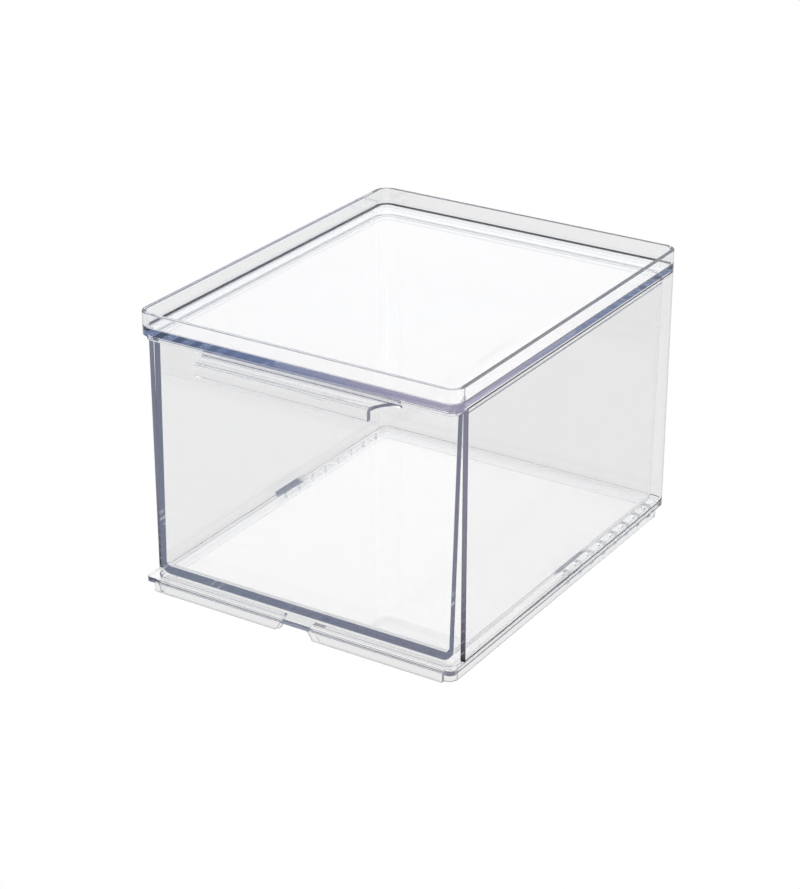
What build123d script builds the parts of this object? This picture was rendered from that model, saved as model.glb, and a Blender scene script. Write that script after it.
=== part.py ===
from build123d import *
import math
import os

# Stackable drawer box in clear moulded plastic: a housing open at the front, made of a base, a
# U-shaped wall sleeve and a rimmed lid, with a pull-out drawer. Millimetres. X is the width, the
# front with the handle faces -Y, +Z is up. The origin is on the table, under the middle of the
# whole footprint.

# ---- lid and stacking rim ----
lid_width = 160.0
lid_depth = 194.0
lid_thickness = 3.2
edge_radius = 6.5            # upright corners of the lid, and back corners of sleeve and base
rim_height = 7.3             # stacking rim above the lid's plate
rim_thickness = 2.0
rim_root_fillet = 0.8
locating_height = 2.2        # rib under the lid, inside the sleeve
locating_thickness = 1.8
locating_clearance = 0.2
locating_radius = 4.0        # upright corners of that rib, outside
header_setback = 1.2         # front run of that rib, behind the lid's front
soft_edge = 0.4              # rounding of free moulded edges

# ---- wall sleeve ----
sleeve_thickness = 2.4
sleeve_height = 115.5
sleeve_setback = 8.0         # front edges of the side walls, behind the lid's front

# ---- base with foot ring ----
base_thickness = 2.2
base_lip = 2.2               # the base reaches this far in front of the lid
lip_corner_radius = 3.0
foot_height = 6.5            # stacking foot ring under the base
foot_thickness = 2.0
foot_corner_radius = 5.0
foot_root_fillet = 0.6
stacking_clearance = 0.5     # foot ring inside the rim of the box below
apron_height = 4.3           # apron under the front of the lip, ahead of the rim of the box below
apron_thickness = 1.8
apron_root_fillet = 1.5
apron_end_gap = 5.0          # bare stretch of lip at each end of the apron
notch_half_width = 7.2       # trapezoid notch in apron and foot ring, at its top
notch_slope = 0.58           # the notch widens by this much on each side per unit of depth
gusset_count = 8             # gussets inside the foot ring on each side, rear half only
gusset_pitch = 11.25
gusset_thickness = 3.0
gusset_reach = 4.0
gusset_drop = 4.5
last_gusset_from_back = 12.0

# ---- drawer ----
running_gap = 0.5            # drawer floor above the base
head_gap = 0.6               # drawer top below the lid's locating rib
drawer_side_gap = 0.6        # drawer's side to the sleeve, at the top
drawer_side_draft = 0.6      # degrees, narrower towards the floor
drawer_back_gap = 3.2        # drawer's back to the sleeve's back wall, at the top
drawer_wall = 2.2
drawer_floor = 2.2
drawer_corner_radius = 8.0   # upright back corners, outside
drawer_bottom_radius = 5.0   # along the bottom edges, outside
drawer_inner_radius = 2.8
front_thickness = 2.2
front_lean = 1.9             # degrees, the top of the front leans back
front_behind_lip = 6.6       # foot of the drawer's front, behind the front of the base's lip

# ---- pull handle ----
handle_reach = 17.1          # forward of the front panel's top
handle_thickness = 2.1
handle_rise = 1.0            # the shelf climbs this much towards its nose
handle_hollow = 0.5          # hollow of the shelf's underside
handle_drop = 6.2            # nose down to the lip's edge
handle_lip_width = 86.0
handle_root_width = 98.0
flare_run = 13.3             # from the nose back to where the flared ends are widest
flare_hollow = 1.5
handle_nose_radius = 2.2
handle_lip_radius = 0.7
handle_root_fillet = 2.4

# ---- working values ----
cut_overrun = 1.0            # cutters run this far past the faces they open
tiny = 0.0001                # two heights closer than this are the same

# ---- heights and depths that follow from those ----
base_bottom = foot_height
base_top = base_bottom + base_thickness
lid_bottom = base_top + sleeve_height
lid_top = lid_bottom + lid_thickness
rim_top = lid_top + rim_height
drawer_bottom = base_top + running_gap
drawer_top = lid_bottom - locating_height - head_gap
drawer_height = drawer_top - drawer_bottom
drawer_top_width = lid_width - 2 * (sleeve_thickness + drawer_side_gap)
lean_run = drawer_height * math.tan(math.radians(front_lean))
draft_run = drawer_height * math.tan(math.radians(drawer_side_draft))

# The footprint runs from the handle's nose to the lid's back, and the origin is in its middle.
nose_ahead_of_foot = handle_reach - lean_run
footprint_depth = lid_depth + base_lip - front_behind_lip + nose_ahead_of_foot
lid_back = footprint_depth / 2
lid_front = lid_back - lid_depth
lip_front = lid_front - base_lip
sleeve_front = lid_front + sleeve_setback
front_foot = lip_front + front_behind_lip
front_top = front_foot + lean_run
handle_nose = front_top - handle_reach
drawer_back = lid_back - sleeve_thickness - drawer_back_gap


def block(x0, x1, y0, y1, z0, z1):
    """Straight block between two opposite corners, for trimming."""
    return Pos((x0 + x1) / 2, (y0 + y1) / 2, (z0 + z1) / 2) * Box(x1 - x0, y1 - y0, z1 - z0)


def rounded_plate(half_width, front, back, bottom, height, front_radius, back_radius):
    """Plate symmetric about X = 0 with rounded upright corners at its front and back."""
    with BuildSketch() as plan:
        Polygon((-half_width, front), (half_width, front), (half_width, back), (-half_width, back),
                align=None)
        corners = plan.vertices().group_by(Axis.Y)
        fillet(corners[0], front_radius)
        rear = plan.vertices().group_by(Axis.Y)[-1]
        fillet(rear, back_radius)
    return Pos(0, 0, bottom) * extrude(plan.sketch, height)


def ring(half_width, front, back, bottom, height, radius, thickness):
    """Closed upright wall of one thickness that follows a rounded rectangle."""
    outer = rounded_plate(half_width, front, back, bottom, height, radius, radius)
    inner = rounded_plate(half_width - thickness, front + thickness, back - thickness,
                          bottom - cut_overrun, height + 2 * cut_overrun,
                          radius - thickness, radius - thickness)
    return outer - inner


def edges_at_height(solid, height):
    """Edges that lie flat at one height."""
    return solid.edges().filter_by(lambda e: abs(e.bounding_box().min.Z - height) < tiny
                                   and abs(e.bounding_box().max.Z - height) < tiny)


def save(solid, node):
    solid.label = node
    export_step(solid, f"parts/{node}.step")


def make_lid():
    """Lid: plate, stacking rim all round it, and a locating rib below that drops inside the sleeve."""
    lid = rounded_plate(lid_width / 2, lid_front, lid_back, lid_bottom, rim_top - lid_bottom,
                        edge_radius, edge_radius)
    inner_radius = edge_radius - rim_thickness
    lid = lid - rounded_plate(lid_width / 2 - rim_thickness, lid_front + rim_thickness,
                              lid_back - rim_thickness, lid_top, rim_height + cut_overrun,
                              inner_radius, inner_radius)
    lid = fillet(edges_at_height(lid, lid_top), rim_root_fillet)
    lid = fillet(edges_at_height(lid, rim_top), soft_edge)
    rib_inset = sleeve_thickness + locating_clearance
    rib = ring(lid_width / 2 - rib_inset, lid_front + header_setback, lid_back - rib_inset,
               lid_bottom - locating_height, locating_height, locating_radius, locating_thickness)
    rib = fillet(edges_at_height(rib, lid_bottom - locating_height), soft_edge)
    return lid + rib


def make_sleeve():
    """Both side walls and the back in one U-shaped moulding with rounded back corners."""
    sleeve = ring(lid_width / 2, lid_front, lid_back, base_top, sleeve_height,
                  edge_radius, sleeve_thickness)
    sleeve = sleeve - block(-lid_width, lid_width, lid_front - cut_overrun, sleeve_front,
                            base_top - cut_overrun, lid_bottom + cut_overrun)
    front_edges = sleeve.edges().filter_by(Axis.Z).group_by(Axis.Y)[0]
    return fillet(front_edges, soft_edge)


def root_strip(x0, x1, y0, y1, radius):
    """Hollow-sided strip that fills the corner between the base's underside and an upright at y0."""
    with BuildSketch(Plane.YZ) as section:
        with BuildLine():
            hollow = RadiusArc((y0, base_bottom - radius), (y1, base_bottom), radius)
            Polyline(hollow @ 1, (y0, base_bottom), hollow @ 0)
        make_face()
    return Pos(x0, 0, 0) * extrude(section.sketch, x1 - x0)


def make_base():
    """Base: plate with a front lip and apron, stacking foot ring with a notch, and gussets inside it."""
    plate = rounded_plate(lid_width / 2, lip_front, lid_back, base_bottom, base_thickness,
                          lip_corner_radius, edge_radius)
    plate = fillet(edges_at_height(plate, base_top), soft_edge)

    foot_inset = rim_thickness + stacking_clearance
    foot_side = lid_width / 2 - foot_inset
    foot_front = lid_front + foot_inset
    foot_back = lid_back - foot_inset
    foot = ring(foot_side, foot_front, foot_back, 0, foot_height, foot_corner_radius, foot_thickness)
    foot = fillet(edges_at_height(foot, 0), soft_edge)
    base = plate + foot
    roots = edges_at_height(base, base_bottom).filter_by(
        lambda e: abs(e.center().X) < foot_side + tiny
        and foot_front - tiny < e.center().Y < foot_back + tiny)
    base = fillet(roots, foot_root_fillet)

    apron_half = lid_width / 2 - apron_end_gap
    apron_back = lip_front + apron_thickness
    apron = block(-apron_half, apron_half, lip_front, apron_back, base_bottom - apron_height, base_bottom)
    apron = fillet(edges_at_height(apron, base_bottom - apron_height), soft_edge)
    base = base + apron
    base = base + root_strip(-apron_half, apron_half, apron_back, apron_back + apron_root_fillet,
                             apron_root_fillet)

    notch_bottom = notch_half_width + notch_slope * foot_height
    outline = Plane.XZ * Polygon((-notch_half_width, base_bottom), (notch_half_width, base_bottom),
                                 (notch_bottom, 0), (-notch_bottom, 0), align=None)
    notch_run = foot_front + foot_thickness + foot_root_fillet - lip_front
    base = base - Pos(0, lip_front, 0) * extrude(outline, notch_run, both=True)

    gusset_side = foot_side - foot_thickness
    for side in (-1, 1):
        for i in range(gusset_count):
            y = lid_back - last_gusset_from_back - i * gusset_pitch
            outline = Plane.XZ * Polygon((side * gusset_side, base_bottom),
                                         (side * (gusset_side - gusset_reach), base_bottom),
                                         (side * gusset_side, base_bottom - gusset_drop), align=None)
            base = base + Pos(0, y, 0) * extrude(outline, gusset_thickness / 2, both=True)
    return base


def drafted_block(half_width, front, back, bottom, height, corner_radius):
    """Block that widens upwards by the draft, with rounded upright back corners."""
    with BuildSketch() as plan:
        Polygon((-half_width, front), (half_width, front), (half_width, back), (-half_width, back),
                align=None)
        fillet(plan.vertices().group_by(Axis.Y)[-1], corner_radius)
    return Pos(0, 0, bottom) * extrude(plan.sketch, height, taper=-drawer_side_draft)


def ahead_of_front(offset):
    """Everything in front of the leaning plane that lies this far behind the drawer front's face."""
    reach = 3 * drawer_height
    cutter = block(-lid_width, lid_width, -reach, offset, -reach, reach)
    return Pos(0, front_foot, drawer_bottom) * Rot(X=-front_lean) * cutter


def make_handle():
    """Pull handle: a shelf off the front's top edge that climbs to a down-turned lip, with flared ends."""
    nose_top = drawer_top + handle_rise
    lip_bottom = nose_top - handle_drop
    lip_back = handle_nose + handle_thickness
    root_under = drawer_top - handle_thickness
    root = front_top + front_thickness / 2
    with BuildSketch(Plane.YZ) as section:
        with BuildLine():
            top = ThreePointArc((root, drawer_top),
                                ((root + handle_nose) / 2, drawer_top + handle_rise / 4),
                                (handle_nose, nose_top))
            lip = Polyline(top @ 1, (handle_nose, lip_bottom), (lip_back, lip_bottom),
                           (lip_back, nose_top - handle_thickness))
            under = ThreePointArc(lip @ 1, ((lip_back + front_top - handle_root_fillet) / 2,
                                            (nose_top - handle_thickness + root_under) / 2
                                            + handle_hollow),
                                  (front_top - handle_root_fillet, root_under))
            Polyline(under @ 1, (front_top, root_under - handle_root_fillet),
                     (root, root_under - handle_root_fillet), (root, drawer_top))
        make_face()
        nose = section.vertices().sort_by_distance((handle_nose, nose_top, 0))[0]
        fillet(nose, handle_nose_radius)
        lip_edge = section.vertices().group_by(Axis.Y)[0]
        fillet(lip_edge, handle_lip_radius)
    bar = extrude(section.sketch, handle_root_width, both=True)
    half_lip = handle_lip_width / 2
    half_root = handle_root_width / 2
    flare_end = handle_nose + flare_run
    middle = (handle_nose + flare_end) / 2
    waist = (half_lip + half_root) / 2 - flare_hollow
    with BuildSketch() as plan:
        with BuildLine():
            right = ThreePointArc((half_lip, handle_nose), (waist, middle), (half_root, flare_end))
            left = ThreePointArc((-half_root, flare_end), (-waist, middle), (-half_lip, handle_nose))
            Polyline(right @ 1, (half_root, root), (-half_root, root), left @ 0)
            Line(left @ 1, right @ 0)
        make_face()
    return bar & extrude(plan.sketch, rim_top)


def make_drawer():
    """Drawer: tray with drafted walls and rounded lower edges, leaning front, and the pull handle."""
    overrun = 4 * drawer_bottom_radius
    low_half = drawer_top_width / 2 - draft_run
    low_back = drawer_back - draft_run
    outside = drafted_block(low_half, front_foot - overrun, low_back, drawer_bottom, drawer_height,
                            drawer_corner_radius)
    outside = fillet(edges_at_height(outside, drawer_bottom), drawer_bottom_radius)
    outside = outside - ahead_of_front(0)
    floor_top = drawer_bottom + drawer_floor
    inner_corner = drawer_corner_radius - drawer_wall
    inside = drafted_block(low_half - drawer_wall, front_foot - overrun, low_back - drawer_wall,
                           floor_top, drawer_height, inner_corner)
    inside = inside - ahead_of_front(front_thickness)
    inside = fillet(edges_at_height(inside, floor_top), drawer_inner_radius)
    tray = outside - inside
    tray = fillet(edges_at_height(tray, drawer_top), soft_edge)
    return tray + make_handle()


os.makedirs("parts", exist_ok=True)
save(make_lid(), "top_lid")
save(make_sleeve(), "wall_sleeve")
save(make_base(), "base_plate")
save(make_drawer(), "drawer_tray")
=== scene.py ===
# %% [markdown]
# # A clear drawer box, dressed for its portrait
#
# The object is a stackable drawer box moulded in clear plastic. Its shapes come from the CAD
# frame and stay as they are. What this lesson adds is the look: how clear plastic bends and
# drinks light, the small marks that moulding leaves, and a bright plain studio.
# Clear plastic has hardly any colour of its own. The eye finds it by its edges, so most of
# the work goes into what light does inside a long thin plate.

# %% Load the frame
import bpy
import numpy as np
from mathutils import Matrix, Vector

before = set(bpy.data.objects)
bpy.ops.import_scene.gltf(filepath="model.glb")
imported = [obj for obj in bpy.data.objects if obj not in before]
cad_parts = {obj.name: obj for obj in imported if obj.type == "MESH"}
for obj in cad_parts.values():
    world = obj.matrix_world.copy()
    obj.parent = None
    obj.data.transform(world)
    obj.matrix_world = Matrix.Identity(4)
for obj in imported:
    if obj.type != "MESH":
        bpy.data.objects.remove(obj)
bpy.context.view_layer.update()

MM = 0.001
print("pieces:", sorted(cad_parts))

# %% [markdown]
# ## Three small helpers
#
# Screen colours are written as hex codes in sRGB, while the renderer wants linear light, so one
# function turns one into the other. A second function adds a shader node with its settings and
# its links in one call, which keeps every material readable as a list of steps. A third fills a
# colour ramp, which the plastic's haze and the room's light both use.

# %% Helpers for colours and nodes
def linear(hex_code, gain=1.0):
    """sRGB hex to linear RGBA: each channel is divided by 12.92 when dark, else raised to 2.4."""
    channel = np.array([int(hex_code[i:i + 2], 16) for i in (1, 3, 5)]) / 255
    light = np.where(channel <= 0.04045, channel / 12.92, ((channel + 0.055) / 1.055) ** 2.4)
    return (*(gain * light).tolist(), 1.0)


def add_node(tree, kind, settings=None, links=None, **attributes):
    """Add one node. Settings are values for its sockets, links are other nodes' outputs.

    Any further names are attributes of the node itself, such as its operation.
    """
    node = tree.nodes.new(kind)
    for name, value in attributes.items():
        setattr(node, name, value)
    for name, value in (settings or {}).items():
        node.inputs[name].default_value = value
    for name, source in (links or {}).items():
        tree.links.new(source, node.inputs[name])
    return node


def set_stops(ramp, stops):
    """Give a colour ramp its stops: position from 0 to 1, sRGB hex, and a gain for lamps."""
    elements = ramp.color_ramp.elements
    while len(elements) > 1:
        elements.remove(elements[-1])
    for i, (position, hex_code, gain) in enumerate(stops):
        element = elements[0] if i == 0 else elements.new(position)
        element.position = position
        element.color = linear(hex_code, gain)


WHITE = linear("#ffffff")
print("linear mid grey:", [round(v, 3) for v in linear("#808080")])

# %% [markdown]
# ## Moulded clear polystyrene
#
# The box is injection moulded from clear polystyrene, a stiff glassy plastic. Its refractive
# index is about 1.59. A polished steel mould leaves the faces as smooth as glass, apart from a
# slight waviness where the melt flowed and shrank, and handling adds a few fine scuffs.
#
# A thin wall looks colourless. A plate seen edge-on is another thing: light enters at its edge and
# runs the whole length of the plate, thrown back from face to face. On that long way the plastic
# drinks a share of the light. The slate blue of the edges is painted light: a weak emission in the
# volume glows with it, standing in for light that the edges bend towards the eye. So the look lives
# in the volume and not on the surface: absorption takes light away and the painted glow adds the
# edge colour. Both follow the thickness by themselves, so the walls stay clear and the edges turn
# blue.
# Real scattering would do the same, but it needs far more samples.

# %% Clear plastic
refractive_index = 1.59
wave_height = 0.02 * MM        # waviness left by the melt
scuff_size = 9 * MM
scuff_noise = (0.35, 0.75)     # below the first the face is unscuffed, at the second fully scuffed
scuff_roughness = 0.035
drunk_per_metre = 11.0
# Way and stretch over which the painted glow of the edges changes colour.
painted_glow_way = (1.0, -0.8, 0.0)    # towards the front right corner
painted_glow_turn = (20 * MM, 120 * MM)  # stretch of that way on which the painted edge glow changes colour


def clear_polystyrene(name, edge, far_edge, wave_mm):
    """Clear plastic whose volume has a painted glow: a very long way through it fills with its edge
    colour.

    Light left after d metres is e to the power of -(drunk_per_metre x d). The absorption node
    drinks its density times (1 - its colour) per metre, so the density is the wanted share
    divided by (1 - colour). The painted glow, an emission that stands in for light the edges bend
    towards the eye, shines with drunk_per_metre times the edge colour, which adds up to the edge
    colour itself on an endless way.
    The painted glow turns from edge to far_edge along the given direction, which leads from the
    left and the back of the box to its front right corner.
    """
    material = bpy.data.materials.new(name)
    material.use_nodes = True
    tree = material.node_tree
    tree.nodes.clear()
    place = add_node(tree, "ShaderNodeTexCoord")

    flow = add_node(tree, "ShaderNodeTexNoise", {"Scale": 1 / (wave_mm * MM), "Detail": 1.0},
                    {"Vector": place.outputs["Object"]})
    bump = add_node(tree, "ShaderNodeBump", {"Strength": 1.0, "Distance": wave_height},
                    {"Height": flow.outputs["Fac"]})
    scuff = add_node(tree, "ShaderNodeTexNoise", {"Scale": 1 / scuff_size, "Detail": 4.0},
                     {"Vector": place.outputs["Object"]})
    rough = add_node(tree, "ShaderNodeMapRange",
                     {"From Min": scuff_noise[0], "From Max": scuff_noise[1],
                      "To Min": 0.0, "To Max": scuff_roughness},
                     {"Value": scuff.outputs["Fac"]})
    shell = add_node(tree, "ShaderNodeBsdfPrincipled",
                     {"Base Color": WHITE, "IOR": refractive_index, "Transmission Weight": 1.0},
                     {"Roughness": rough.outputs["Result"], "Normal": bump.outputs["Normal"]})

    pale = linear("#e1e1e1")
    drink = add_node(tree, "ShaderNodeVolumeAbsorption",
                     {"Color": pale, "Density": drunk_per_metre / (1 - pale[0])})
    # The painted glow's colour turns along the given direction, towards the front right corner.
    along = add_node(tree, "ShaderNodeVectorMath", links={0: place.outputs["Object"]},
                     operation="DOT_PRODUCT")
    along.inputs[1].default_value = painted_glow_way
    turn = add_node(tree, "ShaderNodeMapRange",
                    {"From Min": painted_glow_turn[0], "From Max": painted_glow_turn[1]},
                    {"Value": along.outputs["Value"]}, interpolation_type="SMOOTHSTEP")
    shade = add_node(tree, "ShaderNodeValToRGB", links={"Fac": turn.outputs["Result"]})
    set_stops(shade, [(0.0, edge, 1.0), (1.0, far_edge, 1.0)])
    # Painted light: the volume glows with the edge colour, though the plastic is no lamp.
    painted_glow = add_node(tree, "ShaderNodeEmission", {"Strength": drunk_per_metre},
                    {"Color": shade.outputs["Color"]})
    inside = add_node(tree, "ShaderNodeAddShader",
                      links={0: drink.outputs["Volume"], 1: painted_glow.outputs["Emission"]})

    add_node(tree, "ShaderNodeOutputMaterial",
             links={"Surface": shell.outputs["BSDF"], "Volume": inside.outputs["Shader"]})
    return material


print("light left after 100 mm:", round(float(np.exp(-drunk_per_metre * 100 * MM)), 2))

# %% [markdown]
# ## One finish for each moulding
#
# All four mouldings are the same plastic, yet each has its own pair of colours for the painted
# glow of its edges: the lid's edge band is blue and turns mauve at the front corner, the walls'
# edges are a greyer mauve, the drawer's are slate, and the base's turn from blue to nearly
# neutral. The waviness also has its own length in each, because the melt fills each mould in its
# own way.

# %% Dress the four mouldings
# The two colours of each finish are the painted glow of its edges; the number is the waviness
# length in mm.
finishes = {
    "top_lid": clear_polystyrene("lid clear polystyrene", "#566b98", "#b3a3b6", 28.0),
    "wall_sleeve": clear_polystyrene("sleeve clear polystyrene", "#74758a", "#7e788b", 34.0),
    "drawer_tray": clear_polystyrene("drawer clear polystyrene", "#6b7489", "#737288", 24.0),
    "base_plate": clear_polystyrene("base clear polystyrene", "#6f7a92", "#807d88", 30.0),
}
for name, finish in finishes.items():
    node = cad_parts[name]
    node.data.materials.clear()
    node.data.materials.append(finish)
print("dressed:", sorted(finishes))

# %% [markdown]
# ## A bright table and a soft room
#
# A clear object is best photographed on a bright table: the table shines through the walls and
# leaves them pale. What draws the edges is contrast in what they bend towards the eye, so the
# glow fades a little way from the object, a broad soft light hangs over it at about 25 degrees,
# and the room is dimmer above that light and in a band just below it.
#
# Such a picture is cut out on white afterwards. The Light Path node does the same here: what the
# camera sees directly of table and room is plain white, and only light that has met the object
# sees the fading glow and the dim room.

# %% The glowing table
table_half_size = 6.0
table_height = -0.5 * MM
fade_from, fade_to = 0.38, 1.0     # distance from the middle of the box, in metres
near_glow, far_glow = 0.84, 0.76


def flat_sheet(name, half_size, height, lines=9):
    """A square grid sheet: x and y run evenly from -half_size to half_size, z is the height."""
    steps = np.linspace(-half_size, half_size, lines)
    x, y = np.meshgrid(steps, steps, indexing="ij")
    points = np.stack([x, y, np.full_like(x, height)], -1).reshape(-1, 3)
    index = np.arange(x.size).reshape(x.shape)
    quads = np.stack([index[:-1, :-1], index[1:, :-1], index[1:, 1:], index[:-1, 1:]], -1)
    mesh = bpy.data.meshes.new(name)
    mesh.from_pydata(points.tolist(), [], quads.reshape(-1, 4).tolist())
    sheet = bpy.data.objects.new(name, mesh)
    bpy.context.scene.collection.objects.link(sheet)
    return sheet


table = flat_sheet("studio_table", table_half_size, table_height)
opal = bpy.data.materials.new("opal light table")
opal.use_nodes = True
tree = opal.node_tree
tree.nodes.clear()
way = add_node(tree, "ShaderNodeLightPath")
spot = add_node(tree, "ShaderNodeTexCoord")
away = add_node(tree, "ShaderNodeVectorMath", links={0: spot.outputs["Object"]}, operation="LENGTH")
fade = add_node(tree, "ShaderNodeMapRange",
                {"From Min": fade_from, "From Max": fade_to,
                 "To Min": near_glow, "To Max": far_glow},
                {"Value": away.outputs["Value"]}, interpolation_type="SMOOTHSTEP")
glow = add_node(tree, "ShaderNodeEmission", {"Color": WHITE}, {"Strength": fade.outputs["Result"]})
white = add_node(tree, "ShaderNodeEmission", {"Color": WHITE, "Strength": 1.0})
seen = add_node(tree, "ShaderNodeMixShader",
                links={0: way.outputs["Is Camera Ray"], 1: glow.outputs["Emission"],
                       2: white.outputs["Emission"]})
add_node(tree, "ShaderNodeOutputMaterial", links={"Surface": seen.outputs["Shader"]})
table.data.materials.append(opal)
print("table glows", near_glow, "near the object and", far_glow, "far from it")

# %% [markdown]
# ## Light by height
#
# The room is a colour ramp over the height of the direction looked in, which is 0 at the horizon
# and 1 straight up. A gain over 1 makes a lamp of a stop.

# %% The soft room
room_stops = [
    (0.00, "#e2e2e2", 1.0),    # horizon
    (0.08, "#d0d2d4", 1.0),
    (0.14, "#93969e", 1.0),    # dim band that draws the edges
    (0.23, "#93969e", 1.0),
    (0.32, "#ffffff", 1.5),    # broad soft light
    (0.55, "#ffffff", 1.5),
    (0.70, "#bcbcbc", 1.0),
    (1.00, "#a0a2a6", 1.0),    # ceiling
]
world = bpy.data.worlds.new("soft studio room")
bpy.context.scene.world = world
world.use_nodes = True
tree = world.node_tree
tree.nodes.clear()
ways = add_node(tree, "ShaderNodeTexCoord")
height = add_node(tree, "ShaderNodeSeparateXYZ", links={"Vector": ways.outputs["Generated"]})
lights = add_node(tree, "ShaderNodeValToRGB", links={"Fac": height.outputs["Z"]})
set_stops(lights, room_stops)
room = add_node(tree, "ShaderNodeBackground", {"Strength": 1.0}, {"Color": lights.outputs["Color"]})
paper = add_node(tree, "ShaderNodeBackground", {"Color": WHITE, "Strength": 1.0})
way = add_node(tree, "ShaderNodeLightPath")
seen = add_node(tree, "ShaderNodeMixShader",
                links={0: way.outputs["Is Camera Ray"], 1: room.outputs["Background"],
                       2: paper.outputs["Background"]})
add_node(tree, "ShaderNodeOutputWorld", links={"Surface": seen.outputs["Shader"]})
print("room stops:", len(lights.color_ramp.elements))

# %% [markdown]
# ## Enough bounces for clear edges
#
# Light that runs inside a plate is thrown back about every 8 mm, so a 190 mm plate needs some
# 26 bounces before the light gets out at the far side. With the renderer's usual limit of 12 the
# edges come out black. Standard colours keep the white table white.

# %% Light paths and colours
bounces = 32
cycles = bpy.context.scene.cycles
cycles.max_bounces = bounces
cycles.transmission_bounces = bounces
cycles.glossy_bounces = bounces
bpy.context.scene.view_settings.view_transform = "Standard"
print("bounces:", cycles.max_bounces)

# %% [markdown]
# ## The camera
#
# The picture looks down at the front right corner with a long lens, so that the box's upright
# edges stay nearly parallel. The three axes of the camera are worked out from its heading and
# its tilt, and it stands where the corners of the lid fall in the right places.

# %% Camera
def studio_camera(heading, tilt, spot, lens):
    """Camera at spot in metres. Heading turns it about +Z from the front and tilt looks down.

    Its back axis is (cos tilt sin heading, -cos tilt cos heading, sin tilt), its right axis is
    level, and its up axis is their cross product. Both angles are in degrees, the lens in mm.
    """
    turn, fall = np.radians(heading), np.radians(tilt)
    back = Vector((np.cos(fall) * np.sin(turn), -np.cos(fall) * np.cos(turn), np.sin(fall)))
    right = Vector((np.cos(turn), np.sin(turn), 0))
    up = back.cross(right)
    data = bpy.data.cameras.new("portrait_camera")
    data.lens = lens
    data.sensor_width = 36.0
    data.clip_start = 0.05
    camera = bpy.data.objects.new("portrait_camera", data)
    bpy.context.scene.collection.objects.link(camera)
    matrix = Matrix((right, up, back)).transposed().to_4x4()
    matrix.translation = Vector(spot)
    camera.matrix_world = matrix
    bpy.context.scene.camera = camera
    return camera


camera = studio_camera(heading=32.39, tilt=24.935, spot=(0.5291, -0.843011, 0.5186), lens=98.53)
print("camera:", [round(v, 4) for v in camera.matrix_world.translation])
